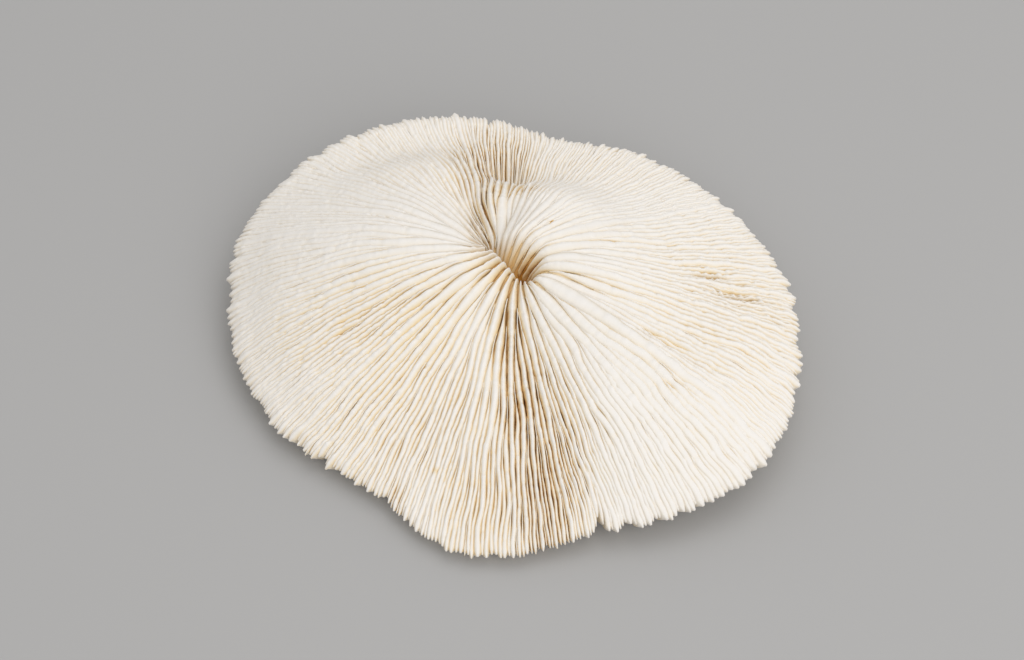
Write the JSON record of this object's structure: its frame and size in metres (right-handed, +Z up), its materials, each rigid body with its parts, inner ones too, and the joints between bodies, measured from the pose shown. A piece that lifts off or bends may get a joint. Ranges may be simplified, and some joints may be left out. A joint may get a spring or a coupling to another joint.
{
  "type": "mushroom coral",
  "caption": "Bleached skeleton of a solitary mushroom coral: a wavy plate with fine upright ridges fanning from a central slit, resting on a flat scar.",
  "frame": {"origin": "centre of the bounding box's footprint, on the surface that the coral rests on", "axes": "+Z up, +X along the coral's longest width, +Y towards the raised far rim"},
  "size_m": [0.18, 0.1634, 0.0381],
  "materials": {
    "skeleton": "matt chalky skeleton, cream with tan hollows"
  },
  "bodies": {
    "root": {"coral": "skeleton"}
  },
  "joints": []
}
